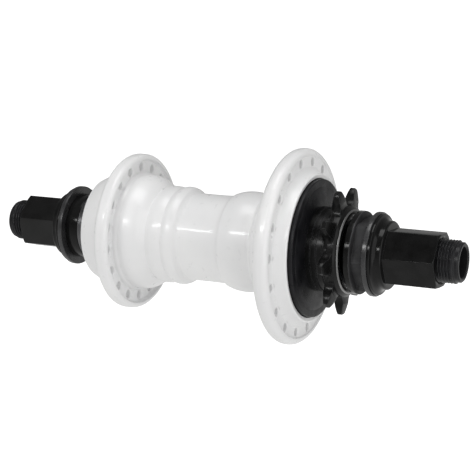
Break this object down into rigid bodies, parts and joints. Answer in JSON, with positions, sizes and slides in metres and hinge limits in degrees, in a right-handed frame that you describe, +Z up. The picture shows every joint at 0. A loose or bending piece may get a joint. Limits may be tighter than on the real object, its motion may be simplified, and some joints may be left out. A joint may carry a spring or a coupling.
{
  "type": "bicycle rear hub",
  "caption": "Rear cassette hub with two drilled spoke flanges, a one-piece chain driver on a pawl freewheel, and a hollow threaded axle with long hex axle nuts.",
  "frame": {"origin": "on the hub axis, half-way between the two dropout faces", "axes": "+Y along the hub axis to the left side, so the drive side is at -Y; +Z up; +X towards the front of the bicycle"},
  "size_m": [0.065, 0.1661, 0.065],
  "materials": {
    "white_shell": "gloss white paint over turned aluminium alloy",
    "black_steel": "black oxide, satin",
    "black_nut_steel": "black oxide, semi-gloss",
    "black_washer": "black oxide, worn slightly brighter at the rim",
    "black_driver_steel": "black, fine turned lines",
    "black_cover": "black anodised, fine turned lines",
    "plain_steel": "dull zinc",
    "bearing_steel": "ground and polished",
    "ratchet_steel": "hardened, greased",
    "spring_steel": "bright spring steel",
    "spacer_alloy": "turned, natural",
    "seal_rubber": "matt dark rubber",
    "cage_plastic": "moulded nylon"
  },
  "bodies": {
    "axle": {"axle": "black_steel", "shell_spacer": "spacer_alloy", "centre_spacer": "spacer_alloy", "driver_spacer": "spacer_alloy", "left_cone_nut": "plain_steel", "left_locknut": "black_nut_steel", "drive_cone_nut": "black_nut_steel", "left_bearing_inner_race": "bearing_steel", "centre_bearing_inner_race": "bearing_steel", "driver_inner_bearing_inner_race": "bearing_steel", "driver_outer_bearing_inner_race": "bearing_steel"},
    "shell": {"hub_shell": "white_shell", "ratchet_ring": "ratchet_steel", "left_dust_seal": "seal_rubber", "left_bearing_outer_race": "bearing_steel", "left_bearing_seals": "seal_rubber", "centre_bearing_outer_race": "bearing_steel", "centre_bearing_seals": "seal_rubber"},
    "driver": {"driver": "black_driver_steel", "dust_cover": "black_cover", "driver_snap_ring": "spring_steel", "pawl_springs": "spring_steel", "driver_inner_bearing_outer_race": "bearing_steel", "driver_inner_bearing_seals": "seal_rubber", "driver_outer_bearing_outer_race": "bearing_steel", "driver_outer_bearing_seals": "seal_rubber"},
    "pawl_1": {"pawl_1": "ratchet_steel"},
    "pawl_2": {"pawl_2": "ratchet_steel"},
    "pawl_3": {"pawl_3": "ratchet_steel"},
    "left_bearing_balls": {"left_bearing_balls": "bearing_steel", "left_bearing_cage": "cage_plastic"},
    "centre_bearing_balls": {"centre_bearing_balls": "bearing_steel", "centre_bearing_cage": "cage_plastic"},
    "driver_inner_bearing_balls": {"driver_inner_bearing_balls": "bearing_steel", "driver_inner_bearing_cage": "cage_plastic"},
    "driver_outer_bearing_balls": {"driver_outer_bearing_balls": "bearing_steel", "driver_outer_bearing_cage": "cage_plastic"},
    "left_washer": {"left_washer": "black_washer"},
    "left_nut": {"left_axle_nut": "black_nut_steel"},
    "drive_washer": {"drive_washer": "black_washer"},
    "drive_nut": {"drive_axle_nut": "black_nut_steel"}
  },
  "joints": [
    {"name": "shell_spin", "type": "hinge", "parent": "axle", "child": "shell", "pos_m": [0, 0, 0], "axis": [0, 1, 0], "continuous": true},
    {"name": "driver_spin", "type": "hinge", "parent": "axle", "child": "driver", "pos_m": [0, 0, 0], "axis": [0, 1, 0], "continuous": true},
    {"name": "pawl_1_tilt", "type": "hinge", "parent": "driver", "child": "pawl_1", "pos_m": [0, -0.0279, 0.0149], "axis": [0, -1, 0], "range_deg": [0, 12], "stiffness_Nm_per_rad": 0.002, "springref_deg": 34.38},
    {"name": "pawl_2_tilt", "type": "hinge", "parent": "driver", "child": "pawl_2", "pos_m": [-0.0129, -0.0279, -0.00745], "axis": [0, -1, 0], "range_deg": [0, 12], "stiffness_Nm_per_rad": 0.002, "springref_deg": 34.38},
    {"name": "pawl_3_tilt", "type": "hinge", "parent": "driver", "child": "pawl_3", "pos_m": [0.0129, -0.0279, -0.00745], "axis": [0, -1, 0], "range_deg": [0, 12], "stiffness_Nm_per_rad": 0.002, "springref_deg": 34.38},
    {"name": "left_bearing_roll", "type": "hinge", "parent": "axle", "child": "left_bearing_balls", "pos_m": [0, 0, 0], "axis": [0, 1, 0], "continuous": true},
    {"name": "centre_bearing_roll", "type": "hinge", "parent": "axle", "child": "centre_bearing_balls", "pos_m": [0, 0, 0], "axis": [0, 1, 0], "continuous": true},
    {"name": "driver_inner_bearing_roll", "type": "hinge", "parent": "axle", "child": "driver_inner_bearing_balls", "pos_m": [0, 0, 0], "axis": [0, 1, 0], "continuous": true},
    {"name": "driver_outer_bearing_roll", "type": "hinge", "parent": "axle", "child": "driver_outer_bearing_balls", "pos_m": [0, 0, 0], "axis": [0, 1, 0], "continuous": true},
    {"name": "left_washer_slide", "type": "slide", "parent": "axle", "child": "left_washer", "axis": [0, 1, 0], "range_m": [0, 0.006]},
    {"name": "left_nut_turn", "type": "hinge", "parent": "left_washer", "child": "left_nut", "pos_m": [0, 0, 0], "axis": [0, 1, 0], "range_deg": [0, 2160]},
    {"name": "drive_washer_slide", "type": "slide", "parent": "axle", "child": "drive_washer", "axis": [0, -1, 0], "range_m": [0, 0.006]},
    {"name": "drive_nut_turn", "type": "hinge", "parent": "drive_washer", "child": "drive_nut", "pos_m": [0, 0, 0], "axis": [0, -1, 0], "range_deg": [0, 2160]}
  ],
  "couplings": [
    {"joint": "left_bearing_roll", "follows": "shell_spin", "ratio": 0.5814},
    {"joint": "centre_bearing_roll", "follows": "shell_spin", "ratio": 0.5814},
    {"joint": "driver_inner_bearing_roll", "follows": "driver_spin", "ratio": 0.561},
    {"joint": "driver_outer_bearing_roll", "follows": "driver_spin", "ratio": 0.561},
    {"joint": "left_washer_slide", "follows": "left_nut_turn", "m_per_rad": 0.00015915},
    {"joint": "drive_washer_slide", "follows": "drive_nut_turn", "m_per_rad": 0.00015915}
  ]
}
